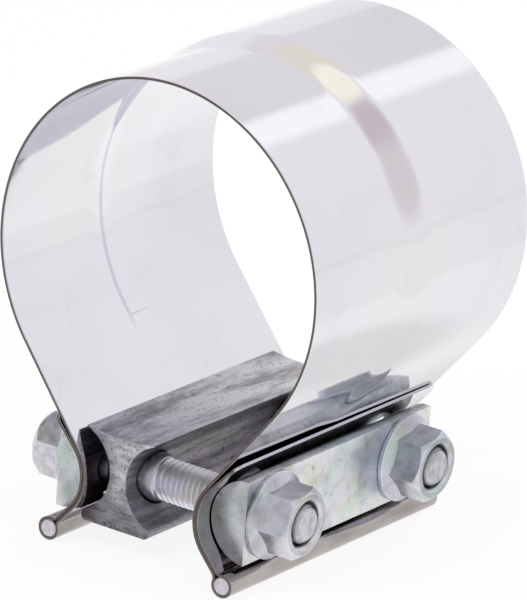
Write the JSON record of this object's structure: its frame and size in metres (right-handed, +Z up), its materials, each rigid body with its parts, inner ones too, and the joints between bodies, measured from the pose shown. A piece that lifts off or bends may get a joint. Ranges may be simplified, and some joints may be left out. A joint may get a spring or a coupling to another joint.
{
  "type": "pipe repair clamp",
  "caption": "Stepped stainless band clamp that closes round a pipe joint, drawn together by two flange bolts through half-round tension bars and a reaction block.",
  "frame": {"origin": "on the floor under the middle of the band, which stands on the rolled hems of its two ears", "axes": "+X along the bolts towards their nuts, +Y along the pipe towards the large end, +Z up"},
  "size_m": [0.1074, 0.0994, 0.1407],
  "materials": {
    "band_steel": "bright rolled stainless sheet with fine handling scratches",
    "rod_steel": "drawn steel, matt cut ends",
    "block_aluminium": "as extruded, sawn ends, scratched and pitted",
    "bar_zinc": "zinc plated, faint iridescence",
    "fastener_zinc": "zinc plated, faint iridescence"
  },
  "bodies": {
    "band": {"band": "band_steel"},
    "head_side": {"head_side_bar": "bar_zinc", "head_side_rod": "rod_steel", "front_bolt": "fastener_zinc", "rear_bolt": "fastener_zinc"},
    "nut_side": {"nut_side_bar": "bar_zinc", "nut_side_rod": "rod_steel"},
    "block": {"reaction_block": "block_aluminium"},
    "front_nut": {"front_nut": "fastener_zinc"},
    "rear_nut": {"rear_nut": "fastener_zinc"}
  },
  "joints": [
    {"name": "head_side_slide", "type": "slide", "parent": "band", "child": "head_side", "axis": [1, 0, 0], "range_m": [0, 0.0114], "deforming": ["band"]},
    {"name": "nut_side_slide", "type": "slide", "parent": "band", "child": "nut_side", "axis": [-1, 0, 0], "range_m": [0, 0.0114], "deforming": ["band"]},
    {"name": "block_slide", "type": "slide", "parent": "band", "child": "block", "axis": [1, 0, 0], "range_m": [0, 0.01146]},
    {"name": "front_nut_turn", "type": "hinge", "parent": "nut_side", "child": "front_nut", "pos_m": [0.0316, -0.03145, 0.02015], "axis": [-1, 0, 0], "range_deg": [0, 4690.3]},
    {"name": "rear_nut_turn", "type": "hinge", "parent": "nut_side", "child": "rear_nut", "pos_m": [0.0316, 0.03145, 0.02015], "axis": [-1, 0, 0], "range_deg": [0, 4690.3]}
  ],
  "couplings": [
    {"joint": "nut_side_slide", "follows": "head_side_slide", "ratio": 1},
    {"joint": "block_slide", "follows": "head_side_slide", "ratio": 1.0049},
    {"joint": "front_nut_turn", "follows": "head_side_slide", "rad_per_m": 7180.8},
    {"joint": "rear_nut_turn", "follows": "head_side_slide", "rad_per_m": 7180.8}
  ]
}
